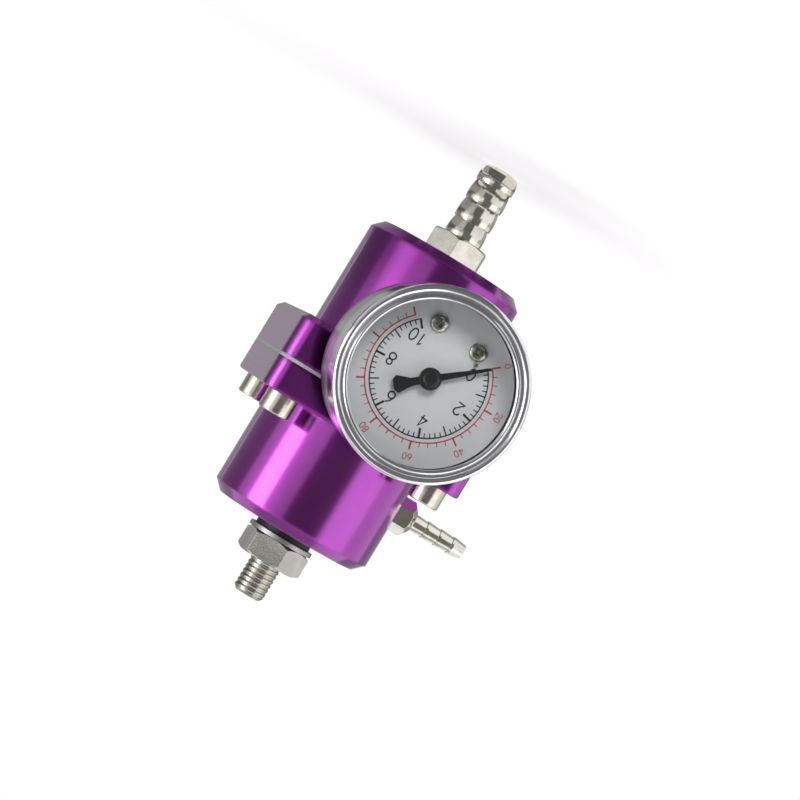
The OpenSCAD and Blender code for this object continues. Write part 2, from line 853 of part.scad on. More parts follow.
// Places of the two screws in the case's back
case_screw_spots = [[-case_screw_x, -case_screw_y], [case_screw_x, -case_screw_y]];

module gauge_case() {
    color("lightgray")
        at_gauge()
            difference() {
                translate([0, case_shift, gasket_z])
                    mirror([0, 0, 1])
                        round_end(2 * case_r, gasket_z - case_z, case_round);
                translate([0, case_shift, block_z])
                    cylinder(r = case_inner_r, h = gauge_depth);
                translate([0, 0, case_z - cut])
                    cylinder(r = hole_r, h = case_wall + 2 * cut);
                for (spot = case_screw_spots)
                    translate([spot[0], spot[1], case_z - cut])
                        cylinder(d = case_screw_d + 2 * loose_gap, h = case_wall + 2 * cut);
            }
}

module case_screws() {
    color(nickel)
        at_gauge()
            for (spot = case_screw_spots)
                translate([spot[0], spot[1], case_z])
                    mirror([0, 0, 1])
                        pan_screw(case_screw_d, case_wall + case_screw_grip,
                            case_screw_head_d, case_screw_head_h);
}

// Outline of the stem's block: a wide part for the posts and a foot for the tube
module block_outline() {
    translate([-block_w / 2, block_low])
        square([block_w, block_high - block_low]);
    translate([-foot_w / 2, -tube_r - tube_w])
        square([foot_w, tube_r]);
}

module gauge_stem() {
    post_spots = [for (side = [-1, 1]) dial_screw_r * [side * sin(dial_screw_angle), -cos(dial_screw_angle)]];
    tube_mid = block_z + 1 + tube_h / 2;
    color(brass)
        at_gauge()
            difference() {
                union() {
                    translate([0, 0, -port_len])
                        cylinder(d = port_d, h = port_len + case_z);
                    translate([0, 0, case_z - stem_hex_len])
                        cylinder(r = stem_af / sqrt(3), h = stem_hex_len + case_wall, $fn = 6);
                    translate([0, 0, block_z])
                        linear_extrude(block_t)
                            block_outline();
                    for (spot = post_spots)
                        translate([spot[0], spot[1], back_plate_z - cut])
                            cylinder(r = post_r, h = dial_z - back_plate_z + cut);
                }
                translate([0, 0, -port_len - cut])
                    cylinder(d = stem_bore_d, h = tube_mid + port_len + cut);
                translate([0, 0, tube_mid])
                    rotate([90, 0, 0])
                        cylinder(d = 1.6, h = tube_r);
                translate([0, -tube_r, tube_mid])
                    rotate([0, -90, 0])
                        cylinder(d = 1, h = foot_w);
                for (spot = post_spots)
                    translate([spot[0], spot[1], dial_z - dial_screw_len - 1])
                        cylinder(d = dial_screw_d + 2 * thread_gap, h = dial_screw_len + 1 + cut);
                for (spot = case_screw_spots)
                    translate([spot[0], spot[1], block_z - cut])
                        cylinder(d = case_screw_d + 2 * thread_gap, h = case_screw_grip + 0.5 + cut);
                for (spot = movement_screw_spots)
                    translate([spot[0], spot[1], back_plate_z - 3.5])
                        cylinder(d = 1.4 + 2 * thread_gap, h = 3.5 + cut);
            }
}

// Points of an arc in a section, from angle a to angle b
function arc_points(x, y, r, a, b) = [for (t = [a : 15 : b]) [x + r * cos(t), y + r * sin(t)]];

module bezel_ring() {
    lip_r = bezel_r - bezel_ring_w;
    rim = bezel_rim_w / 2;
    bead = bezel_bead_w / 2;
    step_z = bezel_len - bezel_step;
    color(nickel)
        at_gauge()
            translate([0, case_shift, face_z - bezel_len])
                rotate_extrude()
                    polygon(concat(
                        [[bezel_r - bezel_t, 0], [bezel_r, 0]],
                        arc_points(bezel_r - rim, bezel_len - rim, rim, 0, 150),
                        arc_points(lip_r + bead, step_z - bead / 4, bead, 15, 180),
                        [[lip_r, bezel_len - bezel_lip_t], [bezel_r - bezel_t, bezel_len - bezel_lip_t]]
                    ));
}

module window() {
    color("lightcyan", 0.3)
        at_gauge()
            translate([0, case_shift, window_z])
                cylinder(r = window_r, h = window_t);
}

module window_gasket() {
    color("dimgray")
        at_gauge()
            translate([0, case_shift, gasket_z])
                difference() {
                    cylinder(r = window_r, h = gasket_t);
                    translate([0, 0, -cut])
                        cylinder(r = bezel_r - bezel_ring_w, h = gasket_t + 2 * cut);
                }
}

module dial() {
    color("white")
        at_gauge()
            translate([0, 0, dial_z])
                difference() {
                    translate([0, case_shift, 0])
                        cylinder(r = dial_r, h = dial_t);
                    translate([0, 0, -cut])
                        cylinder(d = arbor_d + 2, h = dial_t + 2 * cut);
                    for (side = [-1, 1])
                        rotate([0, 0, side * dial_screw_angle])
                            translate([0, -dial_screw_r, -cut])
                                cylinder(d = dial_screw_d + 2 * loose_gap, h = dial_t + 2 * cut);
                    rotate([0, 0, zero_angle + stop_lag])
                        translate([stop_r, 0, -cut])
                            cylinder(d = stop_d + 2 * thread_gap, h = dial_t + 2 * cut);
                }
}

module dial_screws() {
    color(nickel)
        at_gauge()
            for (side = [-1, 1])
                rotate([0, 0, side * dial_screw_angle])
                    translate([0, -dial_screw_r, dial_face_z])
                        pan_screw(dial_screw_d, dial_screw_len + dial_t,
                            dial_screw_head_d, dial_screw_head_h);
}

// Outline of the pointer along +x: tapered blade, neck and fan-shaped counterweight
module pointer_outline() {
    polygon([
        [0, pointer_w / 2], [pointer_len, pointer_tip_w / 2],
        [pointer_len, -pointer_tip_w / 2], [0, -pointer_w / 2]
    ]);
    polygon([
        [0, -pointer_w / 2], [-pointer_tail * 0.5, -pointer_w / 2],
        [-pointer_tail * 0.9, -pointer_fan_w / 2], [-pointer_tail, -pointer_fan_w * 0.3],
        [-pointer_tail, pointer_fan_w * 0.3], [-pointer_tail * 0.9, pointer_fan_w / 2],
        [-pointer_tail * 0.5, pointer_w / 2], [0, pointer_w / 2]
    ]);
}

module pointer() {
    hub_h = 1.1;
    dome_d = pointer_hub_d * 0.8;
    dome_h = pointer_hub_d * 0.19;
    color("black")
        at_gauge()
            rotate([0, 0, zero_angle])
                translate([0, 0, pointer_z])
                    difference() {
                        union() {
                            linear_extrude(pointer_t)
                                pointer_outline();
                            round_end(pointer_hub_d, hub_h, 0.3);
                            translate([0, 0, hub_h / 2])
                                round_end(dome_d, hub_h / 2 + dome_h, dome_h * 0.95);
                        }
                        translate([0, 0, -cut])
                            cylinder(d = arbor_d + 2 * thread_gap, h = hub_h + cut);
                    }
}

// Angle from the pointer's rest to the stop pin that it leans on
stop_lag = asin((stop_d / 2 + pointer_w / 2 + 0.1) / stop_r);

module stop_pin() {
    color(steel)
        at_gauge()
            rotate([0, 0, zero_angle + stop_lag])
                translate([stop_r, 0, dial_z])
                    cylinder(d = stop_d, h = pointer_z + pointer_t - dial_z);
}

// Section of the flattened tube: a strip with bevelled edges
module tube_section(w, h) {
    bevel = w * 0.3;
    x = w / 2;
    y = h / 2;
    polygon([
        [x, bevel - y], [x, y - bevel], [x - bevel, y], [bevel - x, y],
        [-x, y - bevel], [-x, bevel - y], [bevel - x, -y], [x - bevel, -y]
    ]);
}

module bourdon_tube() {
    tip_angle = asin(tip_pin[1] / tube_r) + 3;
    tube_mid = block_z + 1 + tube_h / 2;
    lug_r = link_pin_d / 2 + 0.5;
    tip_wall = 0.3;
    color(brass)
        at_gauge() {
            difference() {
                translate([0, 0, tube_mid])
                    rotate([0, 0, tip_angle])
                        rotate_extrude(angle = 270 - tip_angle)
                            translate([tube_r, 0])
                                difference() {
                                    tube_section(tube_w, tube_h);
                                    tube_section(tube_w - 2 * tube_wall, tube_h - 2 * tube_wall);
                                }
                translate([-foot_w / 2, -2 * tube_r, 0])
                    cube([foot_w, 2 * tube_r, face_z]);
            }
            translate([0, 0, tube_mid])
                rotate([0, 0, tip_angle - 9])
                    rotate_extrude(angle = 12)
                        translate([tube_r, 0])
                            square([tube_w + 2 * tip_wall, tube_h + 2 * tip_wall], center = true);
            translate([tip_pin[0] - lug_r, tip_pin[1] - lug_r, tube_mid])
                cube([tube_r - tip_pin[0] + lug_r, 2 * lug_r, tube_h / 2]);
            translate([tip_pin[0], tip_pin[1], tube_mid])
                cylinder(d = link_pin_d, h = link_z + link_t + 0.2 - tube_mid);
        }
}

module link() {
    hole_d = link_pin_d + 2 * arbor_gap;
    color(brass)
        at_gauge()
            translate([tail_pin[0], tail_pin[1], link_z])
                linear_extrude(link_t)
                    difference() {
                        union() {
                            translate([-link_w / 3, 0])
                                square([link_w * 2 / 3, link_len]);
                            circle(d = link_w);
                            translate([0, link_len])
                                circle(d = link_w);
                        }
                        circle(d = hole_d);
                        translate([0, link_len])
                            circle(d = hole_d);
                    }
}

// Polar angle, in degrees, between an involute's start and its point at radius r
function involute_angle(base_r, r) =
    let (a = acos(min(1, base_r / r)))
        tan(a) * 180 / PI - a;

// Half of a tooth's angle at radius r
function tooth_half(teeth, r) =
    let (pitch_r = gear_module * teeth / 2, base_r = pitch_r * cos(pressure_angle))
        90 / teeth - backlash / 4 / pitch_r * 180 / PI
            + involute_angle(base_r, pitch_r) - involute_angle(base_r, max(r, base_r));

// Points of one tooth from root to tip and back, about the direction mid
function tooth_points(teeth, mid, root_r, tip_r) =
    let (flank = 4, radii = [for (k = [0 : flank]) root_r + (tip_r - root_r) * k / flank])
        concat(
            [for (r = radii) r * [cos(mid - tooth_half(teeth, r)), sin(mid - tooth_half(teeth, r))]],
            [for (k = [flank : -1 : 0])
                let (r = radii[k])
                    r * [cos(mid + tooth_half(teeth, r)), sin(mid + tooth_half(teeth, r))]]
        );

module sector_gear() {
    pitch_r = gear_module * sector_full_teeth / 2;
    root_r = pitch_r - 1.25 * gear_module;
    tip_r = pitch_r + 0.75 * gear_module;
    step = 360 / sector_full_teeth;
    mesh = sector_angle + 180;
    count = ceil(sector_sweep / step) + 4;
    first = mesh + 2.5 * step;
    teeth = [for (i = [count - 1 : -1 : 0])
        each tooth_points(sector_full_teeth, first - i * step, root_r, tip_r)];
    arbor_low = back_plate_z + 0.1;
    color(brass)
        at_gauge()
            translate([sector_centre[0], sector_centre[1], 0])
                difference() {
                    union() {
                        translate([0, 0, sector_z])
                            linear_extrude(sector_t) {
                                polygon(concat(teeth, [[0, 0]]));
                                circle(r = 1.8);
                                rotate([0, 0, -sector_sweep / 2])
                                    translate([0, -link_w / 2])
                                        square([tail_len, link_w]);
                                translate(tail_pin - sector_centre)
                                    circle(d = link_w);
                            }
                        translate([0, 0, arbor_low])
                            cylinder(d = sector_arbor_d, h = front_plate_z + plate_gauge - 0.1 - arbor_low);
                        translate(concat(tail_pin - sector_centre, [link_z - 0.2]))
                            cylinder(d = link_pin_d, h = sector_z - link_z + 0.2 + sector_t);
                    }
                    translate([0, 0, sector_z - cut])
                        rotate([0, 0, mesh - sector_sweep / 2])
                            translate([root_r * 0.62, 0, 0])
                                cylinder(r = root_r * 0.16, h = sector_t + 2 * cut);
                }
}

module pinion_shaft() {
    pitch_r = gear_module * pinion_teeth / 2;
    root_r = pitch_r - 1.1 * gear_module;
    tip_r = pitch_r + gear_module;
    teeth = [for (i = [0 : pinion_teeth - 1])
        each tooth_points(pinion_teeth, sector_angle + i * 360 / pinion_teeth, root_r, tip_r)];
    shaft_low = back_plate_z + 0.1;
    color(steel)
        at_gauge() {
            translate([0, 0, shaft_low])
                cylinder(d = arbor_d, h = pointer_z + 1 - shaft_low);
            translate([0, 0, sector_z - 0.3])
                linear_extrude(sector_t + 0.6)
                    polygon(teeth);
            translate([0, 0, hair_z - 0.1])
                cylinder(r = collet_r, h = hair_h + 0.2);
        }
}

module hairspring() {
    per_turn = 20;
    inner_r = collet_r + thread_gap + hair_t / 2;
    outer_r = hair_stud_r - 0.4 - thread_gap - hair_t / 2;
    last = hair_turns * per_turn;
    function spiral(i, side) =
        (inner_r + (outer_r - inner_r) * i / last + side * hair_t / 2)
            * [cos(360 * i / per_turn), sin(360 * i / per_turn)];
    color(steel)
        at_gauge()
            translate([0, 0, hair_z])
                linear_extrude(hair_h)
                    polygon(concat(
                        [for (i = [0 : last]) spiral(i, 1)],
                        [for (i = [last : -1 : 0]) spiral(i, -1)]
                    ));
}

// Outline of the movement's plates
module plate_outline() {
    low = -8;
    left = -6.8;
    right = 11.2;
    high = 5.8;
    round_r = 1.2;
    translate([left, low + round_r])
        square([right - left, high - low - 2 * round_r]);
    translate([left + round_r, low])
        square([right - left - 2 * round_r, high - low]);
    for (x = [left + round_r, right - round_r], y = [low + round_r, high - round_r])
        translate([x, y])
            circle(round_r);
}

// Movement plate with the bearings of both arbors
module movement_plate() {
    linear_extrude(plate_gauge)
        difference() {
            plate_outline();
            circle(d = arbor_d + 2 * arbor_gap);
            translate(sector_centre)
                circle(d = sector_arbor_d + 2 * arbor_gap);
            children();
        }
}

module back_plate() {
    color(brass)
        at_gauge()
            translate([0, 0, back_plate_z])
                movement_plate()
                    for (spot = movement_screw_spots)
                        translate(spot)
                            circle(d = 1.4 + 2 * loose_gap);
}

module front_plate() {
    color(brass)
        at_gauge() {
            translate([0, 0, front_plate_z])
                movement_plate();
            translate([hair_stud_r * cos(360 * hair_turns), hair_stud_r * sin(360 * hair_turns), hair_z])
                cylinder(r = 0.4, h = front_plate_z - hair_z + plate_gauge / 2);
        }
}

module movement_pillars() {
    color(brass)
        at_gauge()
            for (spot = pillars)
                translate([spot[0], spot[1], back_plate_z + plate_gauge])
                    cylinder(r = pillar_r, h = plate_gap);
}

module movement_screws() {
    color(steel)
        at_gauge()
            for (spot = movement_screw_spots)
                translate([spot[0], spot[1], back_plate_z + plate_gauge])
                    pan_screw(1.4, plate_gauge + 3, 2.6, 0.8);
}

fuel_body();
bonnet();
diaphragm();
diaphragm_plate();
valve_carrier();
carrier_nut();
valve_pad();
valve_seat();
main_spring();
spring_seat();
adjusting_screw();
lock_nut();
lock_washer();
seal_ring();
flange_screws();
return_barb();
inlet_barb();
vacuum_nipple();
gauge_case();
case_screws();
gauge_stem();
bezel_ring();
window();
window_gasket();
dial();
dial_screws();
pointer();
stop_pin();
bourdon_tube();
link();
sector_gear();
pinion_shaft();
hairspring();
back_plate();
front_plate();
movement_pillars();
movement_screws();
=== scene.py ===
import json
import math

import bpy
from mathutils import Matrix, Vector


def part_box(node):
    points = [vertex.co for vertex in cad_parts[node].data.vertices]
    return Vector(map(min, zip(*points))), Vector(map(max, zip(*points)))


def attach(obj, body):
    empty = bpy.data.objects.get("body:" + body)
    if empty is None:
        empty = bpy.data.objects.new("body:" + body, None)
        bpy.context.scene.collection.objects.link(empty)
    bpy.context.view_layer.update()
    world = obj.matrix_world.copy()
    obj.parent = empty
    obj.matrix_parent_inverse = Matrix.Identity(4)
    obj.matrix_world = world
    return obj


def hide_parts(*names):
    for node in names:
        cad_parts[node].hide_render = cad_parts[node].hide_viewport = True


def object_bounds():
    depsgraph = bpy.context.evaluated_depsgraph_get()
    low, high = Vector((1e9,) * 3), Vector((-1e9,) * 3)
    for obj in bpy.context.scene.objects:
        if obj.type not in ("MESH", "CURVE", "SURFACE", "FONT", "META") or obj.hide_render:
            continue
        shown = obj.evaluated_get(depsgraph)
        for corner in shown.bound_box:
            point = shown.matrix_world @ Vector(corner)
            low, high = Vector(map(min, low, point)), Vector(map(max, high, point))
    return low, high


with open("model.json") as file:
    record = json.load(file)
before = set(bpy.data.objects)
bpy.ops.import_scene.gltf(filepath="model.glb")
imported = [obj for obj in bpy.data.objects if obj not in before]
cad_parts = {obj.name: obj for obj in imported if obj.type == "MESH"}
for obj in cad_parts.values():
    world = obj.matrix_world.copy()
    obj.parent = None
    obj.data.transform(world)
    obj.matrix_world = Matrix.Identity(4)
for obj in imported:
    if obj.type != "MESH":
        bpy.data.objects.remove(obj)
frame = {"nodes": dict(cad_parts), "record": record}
cad_low, cad_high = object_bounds()
nodes = frame["nodes"]
MM = 0.001
MICRON = 0.000001
scene = bpy.context.scene
scene.view_settings.view_transform = "Standard"


# Node helpers

# Most values of a noise texture lie between these two
NOISE_LOW, NOISE_HIGH = 0.3, 0.7


def start(name):
    """A new material, its node tree and its main shader."""
    mat = bpy.data.materials.new(name)
    mat.use_nodes = True
    return mat, mat.node_tree, mat.node_tree.nodes["Principled BSDF"]


def coords(tree, stretch):
    """The piece's own coordinates, scaled per axis, in cycles per metre."""
    place = tree.nodes.new("ShaderNodeTexCoord")
    scale = tree.nodes.new("ShaderNodeMapping")
    scale.inputs["Scale"].default_value = stretch
    tree.links.new(place.outputs["Object"], scale.inputs["Vector"])
    return scale.outputs["Vector"]


def noise(tree, stretch, detail, rough=0.5):
    tex = tree.nodes.new("ShaderNodeTexNoise")
    tex.inputs["Scale"].default_value = 1.0
    tex.inputs["Detail"].default_value = detail
    tex.inputs["Roughness"].default_value = rough
    tree.links.new(coords(tree, stretch), tex.inputs["Vector"])
    return tex.outputs["Fac"]


def ramp(tree, fac, stops):
    """Colours between the stops, each a value and its colour."""
    node = tree.nodes.new("ShaderNodeValToRGB")
    marks = node.color_ramp.elements
    while len(marks) < len(stops):
        marks.new(0.5)
    for mark, (at, colour) in zip(marks, stops):
        mark.position = at
        mark.color = (*colour, 1.0)
    tree.links.new(fac, node.inputs["Fac"])
    return node.outputs["Color"]


def span(tree, fac, low, high):
    """A noise value spread over the range from low to high."""
    node = tree.nodes.new("ShaderNodeMapRange")
    node.inputs["From Min"].default_value = NOISE_LOW
    node.inputs["From Max"].default_value = NOISE_HIGH
    node.inputs["To Min"].default_value = low
    node.inputs["To Max"].default_value = high
    tree.links.new(fac, node.inputs["Value"])
    return node.outputs["Result"]


def relief(tree, height, strength, depth, edge=0.0, under=None):
    """Bump from a height, over softened edges where edge is a radius in metres."""
    node = tree.nodes.new("ShaderNodeBump")
    node.inputs["Strength"].default_value = strength
    node.inputs["Distance"].default_value = depth
    tree.links.new(height, node.inputs["Height"])
    if under is not None:
        tree.links.new(under, node.inputs["Normal"])
    elif edge:
        soft = tree.nodes.new("ShaderNodeBevel")
        soft.samples = 4
        soft.inputs["Radius"].default_value = edge
        tree.links.new(soft.outputs["Normal"], node.inputs["Normal"])
    return node.outputs["Normal"]


# Materials

# Directions of the fine marks, in cycles per metre: round the main axis, round the gauge's axis, or even
TURNED = (25, 25, 3500)
FACED = (25, 3500, 25)
EVEN = (2200, 2200, 2200)
MARK_STRENGTH = 0.25
DENT_DEPTH = 200 * MICRON
COAT_ROUGH = 0.1


def metal(name, dark, light, rough, grain, grain_depth, patch, edge=0.0, coat=0.0, dents=0.0,
          dent_scale=500, stops=(NOISE_LOW, NOISE_HIGH)):
    """Metal with patches of colour, uneven gloss and fine marks that run across the grain."""
    mat, tree, shader = start(name)
    shader.inputs["Metallic"].default_value = 1.0
    patches = noise(tree, (patch,) * 3, 4.0, 0.6)
    tree.links.new(ramp(tree, patches, [(stops[0], dark), (stops[1], light)]), shader.inputs["Base Color"])
    marks = noise(tree, grain, 2.0, 0.6)
    tree.links.new(span(tree, marks, rough[0], rough[1]), shader.inputs["Roughness"])
    base = None
    if dents:
        base = relief(tree, noise(tree, (dent_scale,) * 3, 2.0), dents, DENT_DEPTH, edge)
    tree.links.new(relief(tree, marks, MARK_STRENGTH, grain_depth, edge, base), shader.inputs["Normal"])
    if coat:
        shader.inputs["Coat Weight"].default_value = coat
        shader.inputs["Coat Roughness"].default_value = COAT_ROUGH
    return mat


def matte(name, dark, light, rough, scale, depth, strength):
    """Paint, ink, rubber or cloth with fine unevenness."""
    mat, tree, shader = start(name)
    fine = noise(tree, (scale,) * 3, 4.0, 0.6)
    tree.links.new(ramp(tree, fine, [(NOISE_LOW, dark), (NOISE_HIGH, light)]), shader.inputs["Base Color"])
    tree.links.new(span(tree, fine, rough[0], rough[1]), shader.inputs["Roughness"])
    tree.links.new(relief(tree, fine, strength, depth), shader.inputs["Normal"])
    return mat


def dull_back(mat, back_y):
    """Darkens a metal over a few millimetres before back_y: painted shade on the back of the gauge's case,
    where it faces the flange.
    """
    tree = mat.node_tree
    shader = tree.nodes["Principled BSDF"]
    place = tree.nodes.new("ShaderNodeSeparateXYZ")
    tree.links.new(coords(tree, (1, 1, 1)), place.inputs["Vector"])
    back_shade_mask = tree.nodes.new("ShaderNodeMapRange")
    back_shade_mask.inputs["From Min"].default_value = back_y - 6 * MM
    back_shade_mask.inputs["From Max"].default_value = back_y - 2 * MM
    tree.links.new(place.outputs["Y"], back_shade_mask.inputs["Value"])
    shade = tree.nodes.new("ShaderNodeMix")
    shade.data_type = "RGBA"
    # Colour of the painted shade on the case's back
    shade.inputs["B"].default_value = (0.10, 0.10, 0.10, 1.0)
    tree.links.new(back_shade_mask.outputs["Result"], shade.inputs["Factor"])
    tree.links.new(shader.inputs["Base Color"].links[0].from_socket, shade.inputs["A"])
    tree.links.new(shade.outputs["Result"], shader.inputs["Base Color"])


purple = metal("purple_anodised", (0.295, 0.038, 0.33), (0.355, 0.047, 0.395), (0.19, 0.23), TURNED,
               4 * MICRON, patch=45, edge=1.2 * MM, coat=0.7)
nickel = metal("bright_nickel", (0.62, 0.59, 0.51), (0.82, 0.795, 0.72), (0.09, 0.15), EVEN,
               6 * MICRON, patch=260, edge=0.2 * MM, dents=0.22, dent_scale=330)
screw_nickel = metal("screw_nickel", (0.50, 0.46, 0.38), (0.72, 0.68, 0.59), (0.16, 0.26), EVEN,
                     20 * MICRON, patch=300, edge=0.2 * MM, dents=0.08)
dial_screw_steel = metal("dial_screw_steel", (0.24, 0.23, 0.20), (0.62, 0.60, 0.54), (0.14, 0.26), EVEN,
                         40 * MICRON, patch=700, dents=0.1, dent_scale=800, stops=(0.4, 0.6))
nut_steel = metal("nut_steel", (0.45, 0.435, 0.41), (0.57, 0.555, 0.525), (0.09, 0.14), EVEN,
                  30 * MICRON, patch=200, edge=0.2 * MM)
washer_steel = metal("washer_steel", (0.34, 0.34, 0.33), (0.46, 0.46, 0.44), (0.34, 0.46), TURNED,
                     30 * MICRON, patch=200, edge=0.15 * MM)
thread_steel = metal("thread_steel", (0.36, 0.34, 0.29), (0.49, 0.47, 0.41), (0.20, 0.32), EVEN,
                     20 * MICRON, patch=350)
chrome = metal("polished_chrome", (0.80, 0.80, 0.82), (0.88, 0.88, 0.90), (0.10, 0.14), FACED,
               4 * MICRON, patch=60, edge=0.1 * MM)
case_steel = metal("case_steel", (0.62, 0.62, 0.63), (0.70, 0.70, 0.70), (0.24, 0.32), FACED,
                   10 * MICRON, patch=80, edge=0.15 * MM)
# The back of the gauge's case, where it faces the flange, gets painted shade
dull_back(case_steel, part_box("gauge_case")[1][1])
brass = metal("turned_brass", (0.52, 0.34, 0.11), (0.68, 0.48, 0.18), (0.18, 0.30), EVEN,
              20 * MICRON, patch=160, edge=0.1 * MM)
spring_steel = metal("spring_steel", (0.22, 0.22, 0.23), (0.34, 0.34, 0.35), (0.28, 0.38), EVEN,
                     30 * MICRON, patch=200)
rubber = matte("black_rubber", (0.010, 0.010, 0.010), (0.024, 0.024, 0.024), (0.45, 0.6), 1800,
               40 * MICRON, 0.4)
cloth = matte("diaphragm_edge", (0.60, 0.60, 0.61), (0.78, 0.78, 0.79), (0.6, 0.8), 1500,
              60 * MICRON, 0.5)
dial_white = matte("dial_paint", (0.74, 0.75, 0.76), (0.78, 0.79, 0.80), (0.38, 0.48), 900,
                   5 * MICRON, 0.15)
ink_black = matte("black_ink", (0.010, 0.011, 0.012), (0.022, 0.023, 0.024), (0.45, 0.6), 2500,
                  5 * MICRON, 0.2)
ink_red = matte("red_ink", (0.58, 0.055, 0.085), (0.68, 0.085, 0.12), (0.45, 0.6), 2500,
                5 * MICRON, 0.2)
pointer_black = matte("pointer_paint", (0.006, 0.006, 0.007), (0.014, 0.014, 0.015), (0.12, 0.22), 1500,
                      10 * MICRON, 0.3)

glass, tree, shader = start("window_glass")
shader.inputs["Base Color"].default_value = (0.98, 0.99, 0.99, 1.0)
shader.inputs["Transmission Weight"].default_value = 1.0
shader.inputs["IOR"].default_value = 1.46
tree.links.new(span(tree, noise(tree, (120, 120, 120), 4.0, 0.6), 0.0, 0.03), shader.inputs["Roughness"])

looks = {
    purple: ["fuel_body", "bonnet"],
    nickel: ["return_barb", "inlet_barb", "vacuum_nipple"],
    screw_nickel: ["flange_screws"],
    nut_steel: ["lock_nut", "carrier_nut", "spring_seat"],
    washer_steel: ["lock_washer"],
    dial_screw_steel: ["dial_screws"],
    thread_steel: ["adjusting_screw", "case_screws", "stop_pin", "pinion_shaft", "movement_screws"],
    chrome: ["bezel_ring"],
    case_steel: ["gauge_case"],
    brass: ["valve_carrier", "valve_seat", "gauge_stem", "bourdon_tube", "link", "sector_gear", "back_plate",
            "front_plate", "movement_pillars"],
    spring_steel: ["diaphragm_plate", "main_spring", "hairspring"],
    rubber: ["valve_pad", "seal_ring", "window_gasket"],
    cloth: ["diaphragm"],
    dial_white: ["dial"],
    pointer_black: ["pointer"],
    glass: ["window"],
}
for mat, names in looks.items():
    for name in names:
        nodes[name].data.materials.clear()
        nodes[name].data.materials.append(mat)

# The window casts no shadow, so that the dial behind it is lit
nodes["window"].visible_shadow = False


# Helpers for the pieces

# Points round a turned piece
AROUND = 72


def piece(name, verts, faces, mat, body, smooth=False):
    mesh = bpy.data.meshes.new(name)
    mesh.from_pydata([Vector(v) for v in verts], [], faces)
    mesh.update()
    mesh.materials.append(mat)
    for face in mesh.polygons:
        face.use_smooth = smooth
    obj = bpy.data.objects.new(name, mesh)
    scene.collection.objects.link(obj)
    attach(obj, body)
    return obj


def bridge(faces, a, b):
    """Adds the faces between two rings of points, which start at a and b."""
    for k in range(AROUND):
        n = (k + 1) % AROUND
        faces.append((a + k, a + n, b + n, b + k))


# Adjusting screw with its thread, chamfered end and hexagon socket

low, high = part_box("adjusting_screw")
end_z = high[2]
CREST = (high[0] - low[0]) / 2
ROOT = CREST - 0.22 * MM
PITCH = 1.25 * MM
FLANK_START, FLANK_SLOPE = 1.35, 3.2
END_CHAMFER = 0.9 * MM
SOCKET_FLAT, SOCKET_LIP = 2.0 * MM, 2.1 * MM
LIP_DEPTH, SOCKET_DEPTH, DRILL_DEPTH = 0.15 * MM, 3.6 * MM, 4.2 * MM
THREAD_SHARP_DEG = 50
STEP = PITCH / 10
rows = int((end_z - low[2]) / STEP)
verts, faces = [], []


def thread_radius(angle, z):
    """Radius of the thread, with crest and root rounded into its flanks."""
    phase = (z / PITCH - angle / math.tau) % 1.0
    rise = min(1.0, max(0.0, FLANK_START - abs(phase - 0.5) * FLANK_SLOPE))
    soft = rise * rise * (3 - 2 * rise)
    return ROOT + (CREST - ROOT) * soft


def socket(flat, z):
    """Adds a hexagon as a ring of points, with flat as the distance from its middle to a side."""
    first = len(verts)
    for k in range(AROUND):
        a = math.tau * k / AROUND
        turn = (a + math.pi / 6) % (math.pi / 3) - math.pi / 6
        r = flat / math.cos(turn)
        verts.append((r * math.cos(a), r * math.sin(a), z))
    return first


for i in range(rows + 1):
    z = end_z if i == rows else low[2] + i * STEP
    cap = CREST - END_CHAMFER + (end_z - z)
    for k in range(AROUND):
        a = math.tau * k / AROUND
        r = min(thread_radius(a, z), cap)
        verts.append((r * math.cos(a), r * math.sin(a), z))
for i in range(rows):
    bridge(faces, i * AROUND, (i + 1) * AROUND)
faces.append(tuple(reversed(range(AROUND))))
lip = socket(SOCKET_LIP, end_z)
wall = socket(SOCKET_FLAT, end_z - LIP_DEPTH)
bottom = socket(SOCKET_FLAT, end_z - SOCKET_DEPTH)
bridge(faces, rows * AROUND, lip)
bridge(faces, lip, wall)
bridge(faces, wall, bottom)
tip = len(verts)
verts.append((0, 0, end_z - DRILL_DEPTH))
for k in range(AROUND):
    faces.append((bottom + k, bottom + (k + 1) % AROUND, tip))
screw = piece("threaded_screw", verts, faces, thread_steel, "adjuster", True)
screw.data.set_sharp_from_angle(angle=math.radians(THREAD_SHARP_DEG))
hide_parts("adjusting_screw")


# Rounded rings over the straight cones of the two hose barbs, which have these sizes in the CAD

CREST_R, ROOT_R, TIP_R = 4.85 * MM, 4.45 * MM, 4.1 * MM
NECK_LEN, RING_LEN, TIP_LEN = 4.7 * MM, 5.1 * MM, 4.2 * MM
BARB_LEN = NECK_LEN + 2 * RING_LEN + TIP_LEN
SWELL, SWELL_AT = 0.1 * MM, 0.3
OVER, END_WALL = 0.01 * MM, 0.2 * MM
RING_ROWS = 16
RING_SHARP_DEG = 35


def barb_profile():
    """Radius of the skin and distance from the hexagon, row by row, with a small swell on each ring."""
    profile = []
    begin = 0.0
    for length, end_r in ((NECK_LEN, ROOT_R), (RING_LEN, ROOT_R), (RING_LEN, ROOT_R), (TIP_LEN, TIP_R)):
        low_r = end_r + OVER
        for j in range(RING_ROWS + 1):
            t = j / RING_ROWS
            if t < SWELL_AT:
                r = CREST_R + SWELL * (1 - ((SWELL_AT - t) / SWELL_AT) ** 2)
            else:
                r = low_r + (CREST_R + SWELL - low_r) * (1 - ((t - SWELL_AT) / (1 - SWELL_AT)) ** 2)
            profile.append((r, begin + length * t))
        begin += length
    profile.append((TIP_R - END_WALL, begin + OVER))
    return profile


